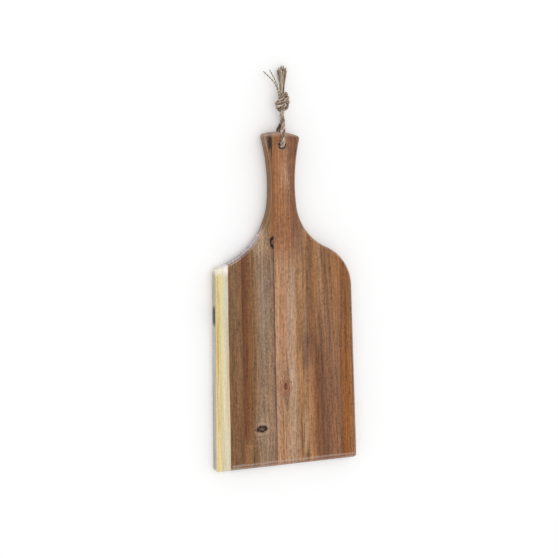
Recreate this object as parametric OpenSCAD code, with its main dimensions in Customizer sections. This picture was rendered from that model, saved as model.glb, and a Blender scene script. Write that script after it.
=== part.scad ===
// Paddle serving board: five edge-glued staves and a knotted rope loop through the handle.
// The board is drawn flat: X to the right, Y from the lower end to the handle, Z up from its underside.
// It is then set down as it lies on a table, on its lower end and on the rope under the handle.

/* [Board] */
// Length from the lower end to the top of the handle
board_l = 457; // [440:1:480]
// Width across the lower end
body_w = 206; // [196:0.5:220]
// Thickness of the staves
board_t = 16; // [12:0.5:20]
// Radius of the round-over along the upper and lower edges
edge_r = 3; // [1.5:0.25:3.75]
// Radius of the two lower corners, seen from above
corner_r = 4; // [3.5:0.5:10]

/* [Shoulders] */
// Distance from the top of the handle down to the sharp left shoulder corner
left_corner_from_end = 179; // [168:1:190]
// Lean of the straight left side, in degrees
left_taper = 1.1; // [0.5:0.1:2]
// Radius of the hollow from the handle to the left shoulder corner
left_sweep_r = 98; // [90:1:110]
// Lean of the straight right side, in degrees
right_taper = 1.2; // [0.5:0.1:2]
// Distance from the top of the handle down to where the right side starts to round
right_round_from_end = 214; // [204:1:224]
// Radius of the round right shoulder
right_round_r = 62.5; // [50:0.5:70]
// Radius of the hollow from the handle to the right shoulder
right_sweep_r = 75; // [60:1:90]

/* [Handle] */
// Width of the handle at its narrowest
neck_w = 35.6; // [32:0.2:40]
// Width of the handle at its end
handle_end_w = 53; // [48:0.5:60]
// Distance from the top of the handle down to its narrowest place
neck_from_end = 71; // [60:1:85]
// Radius of the curved end
end_r = 75; // [60:1:100]
// Sideways shift of the highest point of the curved end
end_skew = -7; // [-10:0.5:0]
// Radius of the two corners of the end, seen from above
end_corner_r = 4; // [3.5:0.5:8]
// Diameter of the rope hole
hole_d = 10; // [9.6:0.2:13]
// Distance from the top of the handle to the centre of the rope hole
hole_inset = 17.5; // [15:0.5:22]
// Width of the bevel at each mouth of the rope hole
hole_bevel = 0.8; // [0.4:0.1:1.2]

/* [Staves] */
// Width of the sapwood stave at the lower end
sapwood_w = 41.5; // [38:0.5:46]
// Width of the knot stave where it passes the handle's narrowest place
neck_strip_w = 3.3; // [3.1:0.1:5]
// Width of the handle stave
handle_stave_w = 47; // [44:0.5:50]
// Width of the outer stave at the lower end
outer_w = 23.5; // [20:0.5:28]
// Thickness of each glue film
glue_t = 0.2; // [0.1:0.05:0.4]

/* [Rope] */
// Diameter of the rope
rope_d = 6.4; // [5:0.1:6.6]
// Clearance between the rope's two strands and the faces of the board
rope_gap = 0.6; // [0.4:0.1:1]
// Clearance between the rope and the wall of its hole
hole_gap = 0.4; // [0.3:0.05:0.6]
// Angle of the rope to the right of the handle's axis, at rest
rope_angle = 4.7; // [-10:0.1:10]
// Distance from the rope hole to the knot
loop_l = 44; // [44:1:60]
// Width of the knot across the rope
knot_w = 22.4; // [19:0.2:26]
// Length of the knot along the rope
knot_l = 26.5; // [24:0.5:32]
// Height of the knot from below to above
knot_h = 21; // [18:0.5:24]
// Distance of the knot's middle below the middle of the board's thickness
knot_drop = 2; // [0:0.5:4]
// Length of the frayed ends past the knot
tuft_l = 33; // [25:1:45]
// Diameter of the frayed ends at their tips
tuft_d = 12; // [9:0.5:14]
// Diameter of a single yarn
yarn_d = 1.6; // [1.2:0.1:2]

/* [Hidden] */
$fn = 96;

// Margin by which cutting shapes reach past what they cut
over = 5;

function unit(v) = v / norm(v);
function mid(a, b) = (a + b) / 2;

// Point at distance ra from a and rb from b, to the left of the way from a to b when side is 1
function meet(a, ra, b, rb, side) =
    let (d = norm(b - a))
    let (e = (b - a) / d)
    let (x = (d * d + ra * ra - rb * rb) / (2 * d))
    a + x * e + side * sqrt(ra * ra - x * x) * [-e[1], e[0]];

// Point of the circle with centre c and radius r that lies toward p
function toward(c, r, p) = c + r * unit(p - c);

// Lower corners and straight sides
left_x = -body_w / 2;
right_x = body_w / 2;
left_up = [sin(left_taper), cos(left_taper)];
right_up = [-sin(right_taper), cos(right_taper)];
right_in = [-cos(right_taper), -sin(right_taper)];
right_low_run = corner_r / tan((90 - right_taper) / 2);
right_low_a = [right_x - right_low_run, 0];
right_low_b = [right_x, 0] + right_low_run * right_up;
right_low_c = right_low_a + [0, corner_r];
left_low_run = corner_r / tan((90 - left_taper) / 2);
left_low_a = [left_x, 0] + left_low_run * left_up;
left_low_b = [left_x + left_low_run, 0];
left_low_c = left_low_b + [0, corner_r];
left_corner_y = board_l - left_corner_from_end;
left_corner = [left_x, 0] + left_corner_y / cos(left_taper) * left_up;

// Hollow sides of the handle
neck_y = board_l - neck_from_end;
end_c = [end_skew, board_l - end_r];
end_y = end_c[1] + sqrt(pow(end_r, 2) - pow(handle_end_w / 2, 2));
flare_x = (handle_end_w - neck_w) / 2;
side_r = (pow(flare_x, 2) + pow(end_y - neck_y, 2)) / (2 * flare_x);
right_side_c = [neck_w / 2 + side_r, neck_y];
left_side_c = [-neck_w / 2 - side_r, neck_y];

// Rounded corners of the handle's end
right_end_c = meet(end_c, end_r - end_corner_r, right_side_c, side_r + end_corner_r, 1);
left_end_c = meet(end_c, end_r - end_corner_r, left_side_c, side_r + end_corner_r, -1);

// Shoulders, each running smoothly out of the handle's side
right_round_y = board_l - right_round_from_end;
right_round_a = [right_x, 0] + right_round_y / cos(right_taper) * right_up;
right_round_c = right_round_a + right_round_r * right_in;
right_sweep_c = meet(right_side_c, side_r - right_sweep_r,
                     right_round_c, right_round_r + right_sweep_r, -1);
left_sweep_c = meet(left_side_c, side_r - left_sweep_r, left_corner, left_sweep_r, 1);

// The outline, counterclockwise: the name of each edge, where it starts, its centre and its radius.
// A round edge has a radius above zero, a hollow one below zero, and a straight one zero.
edges = [
    ["lower_end", left_low_b, [0, 0], 0],
    ["right_low", right_low_a, right_low_c, corner_r],
    ["right_straight", right_low_b, [0, 0], 0],
    ["right_round", right_round_a, right_round_c, right_round_r],
    ["right_sweep", toward(right_round_c, right_round_r, right_sweep_c), right_sweep_c, -right_sweep_r],
    ["right_side", toward(right_side_c, side_r, right_sweep_c), right_side_c, -side_r],
    ["right_end", toward(right_side_c, side_r, right_end_c), right_end_c, end_corner_r],
    ["top_end", toward(end_c, end_r, right_end_c), end_c, end_r],
    ["left_end", toward(end_c, end_r, left_end_c), left_end_c, end_corner_r],
    ["left_side", toward(left_side_c, side_r, left_end_c), left_side_c, -side_r],
    ["left_sweep", toward(left_side_c, side_r, left_sweep_c), left_sweep_c, -left_sweep_r],
    ["left_straight", left_corner, [0, 0], 0],
    ["left_low", left_low_a, left_low_c, corner_r],
];
edge_count = len(edges);

function edge_number(name) = search([name], edges)[0];
function edge_start(i) = edges[i % edge_count][1];
function edge_centre(i) = edges[i % edge_count][2];
function edge_radius(i) = edges[i % edge_count][3];
function edge_way(i) = unit(edge_start(i + 1) - edge_start(i));
function angle_of(v) = atan2(v[1], v[0]);

// Direction from a point of an edge into the wood, at right angles to the edge
function into_wood(i, p) =
    edge_radius(i) == 0 ? [-edge_way(i)[1], edge_way(i)[0]] : (edge_centre(i) - p) / edge_radius(i);

// Where an edge starts once the whole outline is moved inward
function start_at(i, inset) =
    let (p = edge_start(i))
    let (before = into_wood(i + edge_count - 1, p))
    let (after = into_wood(i, p))
    p + inset * (before + after) / (1 + before * after);

// Angle about its centre where an edge moved inward starts, or where it crosses x if that is given
function edge_angle(i, inset, start, x) =
    let (c = edge_centre(i))
    let (r = edge_radius(i))
    is_undef(x) ? angle_of(start_at(start, inset) - c) : sign(r) * acos((x - c[0]) / abs(r - inset));

// Angle that an edge turns through, above zero when counterclockwise
function edge_turn(i, inset, from_x, to_x) =
    let (a = edge_angle(i, inset, i, from_x))
    let (b = edge_angle(i, inset, i + 1, to_x))
    edge_radius(i) > 0 ? (b - a + 360) % 360 : -((a - b + 360) % 360);

// Points of an edge moved inward, from its start or from_x up to its end or to_x, without the last one
edge_step = 4;
edge_step_angle = 15;
function edge_points(i, inset, from_x, to_x) =
    let (r = edge_radius(i))
    let (whole = abs(edge_turn(i, 0, from_x, to_x)))
    let (steps = ceil(max(whole * PI / 180 * abs(r) / edge_step, whole / edge_step_angle)))
    let (a = edge_angle(i, inset, i, from_x))
    let (turn = edge_turn(i, inset, from_x, to_x))
    [
        for (k = [0 : steps - 1])
            let (t = a + turn * k / steps)
            edge_centre(i) + abs(r - inset) * [cos(t), sin(t)],
    ];

// The same for any edge; of the straight ones, only the lower end is ever cut across
function edge_line(i, inset, from_x, to_x) =
    edge_radius(i) != 0 ? edge_points(i, inset, from_x, to_x) :
    is_undef(from_x) ? [start_at(i, inset)] : [[from_x, edge_start(i)[1] + inset]];

// Point where an edge moved inward crosses x
function crossing(i, inset, x) =
    let (t = edge_radius(i) == 0 ? 0 : edge_angle(i, inset, i, x))
    edge_radius(i) == 0 ? [x, edge_start(i)[1] + inset] :
    edge_centre(i) + abs(edge_radius(i) - inset) * [cos(t), sin(t)];

// Points along a run: some named edges of the outline in order,
// cut at one x on the first edge and at another on the last
function run_line(run, inset) =
    let (numbers = [for (name = run[0]) edge_number(name)])
    let (last = len(numbers) - 1)
    [
        for (k = [0 : last])
            each edge_line(numbers[k], inset, k == 0 ? run[1] : undef, k == last ? run[2] : undef),
        crossing(numbers[last], inset, run[2]),
    ];

// The round-over is a quarter circle that meets the faces at a slight angle
edge_meet_angle = 10;
edge_in = edge_r * cos(edge_meet_angle);
edge_flat_y = edge_in - edge_r * sin(edge_meet_angle);
round_steps = 5;
lower_round = [
    for (k = [0 : round_steps])
        let (a = edge_meet_angle + (90 - 2 * edge_meet_angle) * k / round_steps)
        [edge_in - edge_r * sin(a), edge_in - edge_r * cos(a)],
];

// Glue joints, from left to right; the two beside the handle keep their places in it
handle_joint_x = neck_strip_w - neck_w / 2;
joints = [left_x + sapwood_w, handle_joint_x, handle_joint_x + handle_stave_w, right_x - outer_w];
function joint_x(i) = joints[i - 1];
function joint_left(i) = joint_x(i) - glue_t / 2;
function joint_right(i) = joint_x(i) + glue_t / 2;

// Rope hole, and the rope's own frame: across the rope, along it from the hole, up from mid-thickness
hole_y = board_l - hole_inset;
strand_h = board_t / 2 + rope_gap + rope_d / 2;
turn_u = -(hole_d / 2 - rope_d / 2 - hole_gap);
bend_u = 14;
strand_apart = 0.3;
front_h = -knot_drop + (rope_d + strand_apart) / 2;
back_h = -knot_drop - (rope_d + strand_apart) / 2;
// How far the two strands lean across before they meet at the knot
front_lean = -2.6;
back_lean = 1.2;
rope_route = [
    [0, loop_l + 10, front_h],
    [0.3 * front_lean, loop_l - 7, front_h],
    [front_lean, loop_l - 10, strand_h],
    [0.7 * front_lean, loop_l - 20, strand_h],
    [0.35 * front_lean, bend_u, strand_h],
    [0, turn_u, strand_h],
    [0, turn_u, -strand_h],
    [0.35 * back_lean, bend_u, -strand_h],
    [0.7 * back_lean, loop_l - 20, -strand_h],
    [back_lean, loop_l - 10, -strand_h],
    [0.3 * back_lean, loop_l - 7, back_h],
    [0, loop_l + 10, back_h],
];
knot_u = loop_l + knot_l / 2;
knot_top = loop_l + knot_l;
tuft_route = [
    [-2, knot_top - 4, -knot_drop],
    [-3, knot_top + 6, -knot_drop - 1],
    [-4, knot_top + 20, -knot_drop - 3],
    [-4, knot_top + tuft_l, -knot_drop - 5],
];
yarn_routes = [
    [[-6, knot_top - 9, 0], [-9, knot_top - 1, 1], [-14, knot_top + 9, 0], [-30, knot_top + 25, -4]],
    [[-5, knot_top - 8, 3], [-8, knot_top + 2, 4], [-13, knot_top + 15, 2], [-22, knot_top + 29, -2]],
];

// Lying on a table, the board pivots on its lower end until the strand under the handle touches down
touch_y = hole_y + (bend_u + turn_u) / 2 * cos(rope_angle);
rest_tilt = atan((rope_gap + rope_d) / (touch_y - edge_flat_y));

// Smooth line along a route: it touches each leg at its middle, so straight stretches stay straight
function bend(a, b, c, t) = pow(1 - t, 2) * a + 2 * t * (1 - t) * b + t * t * c;
function smooth(route, steps) =
    let (last = len(route) - 1)
    [
        route[0],
        for (i = [1 : last - 1])
            for (k = [0 : steps - 1])
                bend(mid(route[i - 1], route[i]), route[i], mid(route[i], route[i + 1]), k / steps),
        mid(route[last - 1], route[last]),
        route[last],
    ];

function tangent(line, i) = unit(line[min(i + 1, len(line) - 1)] - line[max(i - 1, 0)]);
function ring(centre, along, r, sides) =
    let (across = unit([1, 0, 0] - along[0] * along))
    let (up = cross(along, across))
    [for (k = [0 : sides - 1]) centre + r * (cos(360 * k / sides) * across + sin(360 * k / sides) * up)];

// Triangles that fill a flat ring of points, as the numbers of their points: its ears are cut off in turn
function side_of(a, b, p) = cross(b - a, p - a);
function holds(a, b, c, p) = side_of(a, b, p) >= 0 && side_of(b, c, p) >= 0 && side_of(c, a, p) >= 0;
function is_ear(points, a, b, c, others) =
    side_of(points[a], points[b], points[c]) > 0 &&
    len([
        for (i = others)
            if (i != a && i != b && i != c && holds(points[a], points[b], points[c], points[i]))
                i,
    ]) == 0;
function ears(points, left, k = 0) =
    let (n = len(left))
    let (a = left[k % n])
    let (b = left[(k + 1) % n])
    let (c = left[(k + 2) % n])
    n < 3 ? [] :
    is_ear(points, a, b, c, left) ?
        [[a, b, c], each ears(points, [for (i = left) if (i != b) i], k + 1)] :
        ears(points, left, k + 1);

// Solid through a row of rings of points, closed at both ends by the given faces; a convex ring is one face
module skin(rings, ends = undef) {
    last = len(rings) - 1;
    sides = len(rings[0]);
    closing = is_undef(ends) ? [[for (k = [0 : sides - 1]) k]] : ends;
    polyhedron(
        points = [for (r = rings) each r],
        faces = [
            each closing,
            for (i = [0 : last - 1])
                for (k = [0 : sides - 1])
                    each [
                        [i * sides + k, (i + 1) * sides + k, i * sides + (k + 1) % sides],
                        [i * sides + (k + 1) % sides, (i + 1) * sides + k, (i + 1) * sides + (k + 1) % sides],
                    ],
            for (face = closing)
                [for (k = [len(face) - 1 : -1 : 0]) last * sides + face[k]],
        ]
    );
}

// Round tube along a line, from radius r0 at its start to r1 at its end
module tube(line, r0, r1, sides) {
    last = len(line) - 1;
    skin([for (i = [0 : last]) ring(line[i], tangent(line, i), r0 + (r1 - r0) * i / last, sides)]);
}

// Piece of the board inside its runs, square at the joints and rounded over along the outline
module strip(runs) {
    function level(inset, z) = [for (run = runs) for (p = run_line(run, inset)) [p[0], p[1], z]];
    face = [for (p = level(lower_round[0][0], 0)) [p[0], p[1]]];
    rings = [
        for (k = [0 : round_steps]) level(lower_round[k][0], lower_round[k][1]),
        for (k = [round_steps : -1 : 0]) level(lower_round[k][0], board_t - lower_round[k][1]),
    ];
    skin(rings, ears(face, [for (k = [0 : len(face) - 1]) k]));
}

// The same between two joints, below the named edges of the shoulders and handle
module strip_between(from_x, to_x, upper) {
    strip([[["lower_end"], from_x, to_x], [upper, to_x, from_x]]);
}

module glue_line(i, upper) {
    color("saddlebrown") at_rest() strip_between(joint_left(i), joint_right(i), [upper]);
}

module rope_hole() {
    translate([0, hole_y, -over]) cylinder(d = hole_d, h = board_t + 2 * over);
    for (side = [0, 1])
        translate([0, hole_y, side * board_t])
            mirror([0, 0, side])
                translate([0, 0, -over])
                    cylinder(d1 = hole_d + 2 * (hole_bevel + over), d2 = hole_d, h = hole_bevel + over);
}

// From the flat drawing to the board as it lies, its middle over the origin
module at_rest() {
    translate([0, edge_flat_y - board_l / 2, 0])
        rotate([rest_tilt, 0, 0])
            translate([0, -edge_flat_y, 0]) children();
}

// From the rope's own frame to the board as it lies
module on_rope() {
    at_rest() translate([0, hole_y, board_t / 2]) rotate(-rope_angle) children();
}

module sapwood_stave() {
    color("burlywood") at_rest()
        strip([[["left_sweep", "left_straight", "left_low", "lower_end"],
                joint_left(1), joint_left(1)]]);
}

module knot_stave() {
    color("tan") at_rest()
        strip_between(joint_right(1), joint_left(2), ["top_end", "left_end", "left_side", "left_sweep"]);
}

module handle_stave() {
    color("peru") at_rest()
        difference() {
            strip_between(joint_right(2), joint_left(3),
                          ["right_sweep", "right_side", "right_end", "top_end"]);
            rope_hole();
        }
}

module right_stave() {
    color("sienna") at_rest()
        strip_between(joint_right(3), joint_left(4), ["right_round", "right_sweep"]);
}

module outer_stave() {
    color("chocolate") at_rest()
        strip([[["lower_end", "right_low", "right_straight", "right_round"],
                joint_right(4), joint_right(4)]]);
}

module rope_loop() {
    color("wheat") on_rope() tube(smooth(rope_route, 6), rope_d / 2, rope_d / 2, 12);
}

// Lump of the outer shape of the knot, with its turns as slanting ridges
knot_rows = 16;
knot_columns = 28;
knot_turns = 2;
knot_ridge = 0.1;

function knot_point(row, column) =
    let (rise = 180 * row / knot_rows)
    let (round = 360 * column / knot_columns)
    let (turned = knot_turns * 360 * row / knot_rows - round)
    let (swell = 1 - knot_ridge * pow(sin(rise), 2) * (1 - cos(turned)) / 2)
    [
        swell * knot_w / 2 * sin(rise) * cos(round),
        knot_u - knot_l / 2 * cos(rise),
        swell * knot_h / 2 * sin(rise) * sin(round) - knot_drop,
    ];

module rope_knot() {
    lower = knot_columns * (knot_rows - 1);
    upper = lower + 1;
    points = [
        for (row = [1 : knot_rows - 1])
            for (column = [0 : knot_columns - 1]) knot_point(row, column),
        knot_point(0, 0),
        knot_point(knot_rows, 0),
    ];
    function at(row, column) = row * knot_columns + column % knot_columns;
    faces = [
        for (column = [0 : knot_columns - 1]) [lower, at(0, column + 1), at(0, column)],
        for (row = [0 : knot_rows - 3])
            for (column = [0 : knot_columns - 1])
                each [
                    [at(row, column), at(row, column + 1), at(row + 1, column)],
                    [at(row, column + 1), at(row + 1, column + 1), at(row + 1, column)],
                ],
        for (column = [0 : knot_columns - 1])
            [upper, at(knot_rows - 2, column), at(knot_rows - 2, column + 1)],
    ];
    color("tan") on_rope() polyhedron(points, faces);
}

module frayed_ends() {
    color("tan") on_rope() tube(smooth(tuft_route, 5), rope_d / 2, tuft_d / 2, 12);
}

module stray_yarns() {
    color("wheat") on_rope()
        for (route = yarn_routes) tube(smooth(route, 5), yarn_d / 2, yarn_d / 2, 8);
}

sapwood_stave();
knot_stave();
handle_stave();
right_stave();
outer_stave();
glue_line(1, "left_sweep");  // glue_line_1
glue_line(2, "top_end");  // glue_line_2
glue_line(3, "right_sweep");  // glue_line_3
glue_line(4, "right_round");  // glue_line_4
rope_loop();
rope_knot();
frayed_ends();
stray_yarns();
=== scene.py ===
"""Paddle serving board of five edge-glued acacia staves, with a knotted jute loop through its handle.

Sizes are in millimetres, in the board's own flat frame: x to the right of the handle's axis, y up from the
lower end, z up from the underside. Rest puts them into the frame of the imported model, in metres.
"""

import logging
import math
from dataclasses import dataclass
from enum import Enum
from typing import Any, Optional, Sequence, Union

import bmesh
import bpy
from mathutils import Matrix, Vector


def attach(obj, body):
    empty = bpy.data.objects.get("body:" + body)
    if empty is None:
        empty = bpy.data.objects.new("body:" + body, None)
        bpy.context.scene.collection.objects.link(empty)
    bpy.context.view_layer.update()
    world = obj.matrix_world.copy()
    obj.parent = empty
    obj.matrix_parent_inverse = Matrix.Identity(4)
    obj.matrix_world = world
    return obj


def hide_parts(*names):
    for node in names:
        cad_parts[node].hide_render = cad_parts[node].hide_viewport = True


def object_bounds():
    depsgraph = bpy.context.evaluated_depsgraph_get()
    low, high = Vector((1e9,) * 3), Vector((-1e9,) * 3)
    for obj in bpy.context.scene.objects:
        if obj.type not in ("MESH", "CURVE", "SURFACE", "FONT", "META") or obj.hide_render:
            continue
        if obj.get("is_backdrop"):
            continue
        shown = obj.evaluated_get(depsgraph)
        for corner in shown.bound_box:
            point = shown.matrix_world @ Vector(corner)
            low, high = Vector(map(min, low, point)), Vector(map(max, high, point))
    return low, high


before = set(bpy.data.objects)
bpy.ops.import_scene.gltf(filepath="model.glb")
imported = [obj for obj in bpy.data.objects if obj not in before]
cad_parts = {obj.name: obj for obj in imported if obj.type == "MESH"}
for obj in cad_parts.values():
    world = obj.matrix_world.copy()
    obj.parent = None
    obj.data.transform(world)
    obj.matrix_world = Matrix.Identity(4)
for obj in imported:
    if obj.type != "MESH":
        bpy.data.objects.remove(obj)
CAD_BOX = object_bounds()

log = logging.getLogger("serving_board")
MM = 0.001
Material = bpy.types.Material
Mesh = bpy.types.Mesh
NodeTree = bpy.types.NodeTree
Node = bpy.types.Node
Socket = bpy.types.NodeSocket
Source = Union[Node, Socket]
Inputs = dict[Union[str, int], Any]
Stops = Sequence[tuple[float, str]]


def linear(code: str) -> tuple[float, float, float, float]:
    """Turn an sRGB hex colour into linear RGBA.

    Args:
        code: six hex digits, such as "a0744e".

    Returns:
        The colour as Blender's sockets take it.
    """
    channels = [int(code[i : i + 2], 16) / 255 for i in (0, 2, 4)]
    red, green, blue = (c / 12.92 if c <= 0.04045 else ((c + 0.055) / 1.055) ** 2.4 for c in channels)
    return red, green, blue, 1.0


def add(tree: NodeTree, kind: str, inputs: Optional[Inputs] = None, **settings: Any) -> Node:
    """Add one node to a tree.

    Args:
        tree: the tree that gets the node.
        kind: the node's type.
        inputs: what each input gets, by its name or number: a plain value, a Flow, a socket to link, or a
            node, which stands for its first output.
        **settings: properties of the node; stops are the places and hex colours of a colour ramp.

    Returns:
        The new node.
    """
    node = tree.nodes.new(kind)
    stops = settings.pop("stops", None)
    for name, value in settings.items():
        setattr(node, name, value)
    if stops:
        while len(node.color_ramp.elements) < len(stops):
            node.color_ramp.elements.new(1.0)
        for element, (place, code) in zip(node.color_ramp.elements, stops):
            element.position = place
            element.color = linear(code)
    for key, value in (inputs or {}).items():
        if isinstance(value, Flow):
            value = value.socket
        elif isinstance(value, Node):
            value = value.outputs[0]
        if isinstance(value, Socket):
            tree.links.new(value, node.inputs[key])
        else:
            node.inputs[key].default_value = value
    return node


@dataclass(frozen=True)
class Flow:
    """A number that flows through a node tree, so that sums are written as sums."""

    tree: NodeTree
    socket: Socket

    def math(self, operation: str, *others: Any) -> "Flow":
        """Put the number, and those that follow it, through one sum."""
        node = add(self.tree, "ShaderNodeMath", dict(enumerate((self, *others))), operation=operation)
        return Flow(self.tree, node.outputs[0])

    def __add__(self, other: Any) -> "Flow":
        """Sum."""
        return self.math("ADD", other)

    def __sub__(self, other: Any) -> "Flow":
        """Difference."""
        return self.math("SUBTRACT", other)

    def __mul__(self, other: Any) -> "Flow":
        """Product."""
        return self.math("MULTIPLY", other)

    def __truediv__(self, other: Any) -> "Flow":
        """Quotient."""
        return self.math("DIVIDE", other)

    def ramp(self, low: float, high: float) -> "Flow":
        """Rise smoothly from 0 at low to 1 at high, or fall if high comes first.

        Args:
            low: where the result is 0.
            high: where it is 1.

        Returns:
            The result.
        """
        falls = low > high
        first, last = sorted((low, high))
        span = {"Value": self, "From Min": first, "From Max": last}
        span |= {"To Min": float(falls), "To Max": float(not falls)}
        node = add(self.tree, "ShaderNodeMapRange", span, interpolation_type="SMOOTHSTEP")
        return Flow(self.tree, node.outputs[0])


Place = Sequence[Flow]


def new_material(name: str) -> tuple[Material, NodeTree]:
    """Start a material with an empty tree.

    Args:
        name: the material's name.

    Returns:
        The material and its tree.
    """
    made = bpy.data.materials.new(name)
    made.use_nodes = True
    made.node_tree.nodes.clear()
    return made, made.node_tree


def put(name: str, data: bpy.types.ID) -> bpy.types.Object:
    """Put something into the scene.

    Args:
        name: the new object's name.
        data: the mesh, lamp or camera.

    Returns:
        The object.
    """
    made = bpy.data.objects.new(name, data)
    bpy.context.scene.collection.objects.link(made)
    return made


def applied(thing: bpy.types.Object, name: str) -> Mesh:
    """Apply an object's modifier and remove the object.

    Args:
        thing: the object.
        name: the name of the new mesh.

    Returns:
        The plain mesh.
    """
    depsgraph = bpy.context.evaluated_depsgraph_get()
    made = bpy.data.meshes.new_from_object(thing.evaluated_get(depsgraph))
    # This takes the object along with its mesh
    bpy.data.meshes.remove(thing.data)
    made.name = name
    return made


def skin(name: str, rings: Sequence[Sequence[Vector]]) -> Mesh:
    """Close rings of points into one mesh.

    Args:
        name: the mesh's name.
        rings: the points of each ring, from the lowest ring to the highest.

    Returns:
        The mesh.
    """
    made = bmesh.new()
    loops = [[made.verts.new(p) for p in ring] for ring in rings]
    for low, high in zip(loops, loops[1:]):
        for k in range(len(low)):
            made.faces.new((low[k - 1], low[k], high[k], high[k - 1]))
    made.faces.new(list(reversed(loops[0])))
    made.faces.new(loops[-1])
    bmesh.ops.recalc_face_normals(made, faces=made.faces)
    mesh = bpy.data.meshes.new(name)
    made.to_mesh(mesh)
    made.free()
    return mesh


class Body(Enum):
    """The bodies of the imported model."""

    BOARD = "board"
    ROPE = "rope"


@dataclass(frozen=True)
class Edge:
    """One edge of the outline: round if its radius is above zero, hollow if below, straight at zero."""

    start: Vector
    centre: Vector
    radius: float


@dataclass(frozen=True)
class Run:
    """Some edges of the outline in order, cut at one x on the first and at another on the last."""

    names: tuple[str, ...]
    from_x: float
    to_x: float


@dataclass(frozen=True)
class Knot:
    """A knot in the wood: a dark ring round a heart, with the grain pushed aside as far as its halo."""

    x: float
    y: float
    wide: float
    high: float
    heart: str
    ring: str
    halo: str
    halo_wide: float
    push: float
    strength: float = 1.0


@dataclass(frozen=True)
class Accent:
    """A patch or streaks of another colour, soft at the edges.

    With on_side it shows on faces that look left; with over_grain it lies over the grain's light and dark.
    """

    x: tuple[float, float]
    y: tuple[float, float]
    colour: str
    strength: float
    soft_x: float = 2.0
    soft_y: float = 14.0
    streak: float = 0.0
    on_side: bool = False
    over_grain: bool = False


@dataclass(frozen=True)
class Feature:
    """One kind of mark in the wood: its size across, along and through the stave, and how fine it gets.

    The shift keeps it apart from the stave's other features.
    """

    across: float
    along: float
    through: float
    detail: float
    shift: float


DRIFT = Feature(42, 170, 42, 2.0, 0.0)
WAVER = Feature(8, 60, 8, 2.0, 3.1)
BROAD = Feature(7, 260, 60, 2.0, 7.7)
BANDS = Feature(1.9, 120, 50, 2.0, 29.0)
STREAKS = Feature(1.0, 22, 12, 3.0, 11.3)
FLECKS = Feature(1.0, 3.0, 3, 2.0, 51.0)
VEINS = Feature(2.8, 210, 50, 3.0, 17.9)
WARMTH = Feature(8, 150, 50, 3.0, 37.0)
# Wavy grain catches the light in short patches across a stave
FIGURE = Feature(2.4, 7, 9, 2.0, 61.0)
# Acacia pores are 0.2 mm wide; they are drawn 0.7 mm wide, so that they show from this far
PORES = Feature(0.7, 8, 0.7, 1.0, 23.1)
# Where the colours of a stave are given: this far up the board, on the top face
GIVEN_Y = 140
GIVEN_Z = 16


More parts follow.
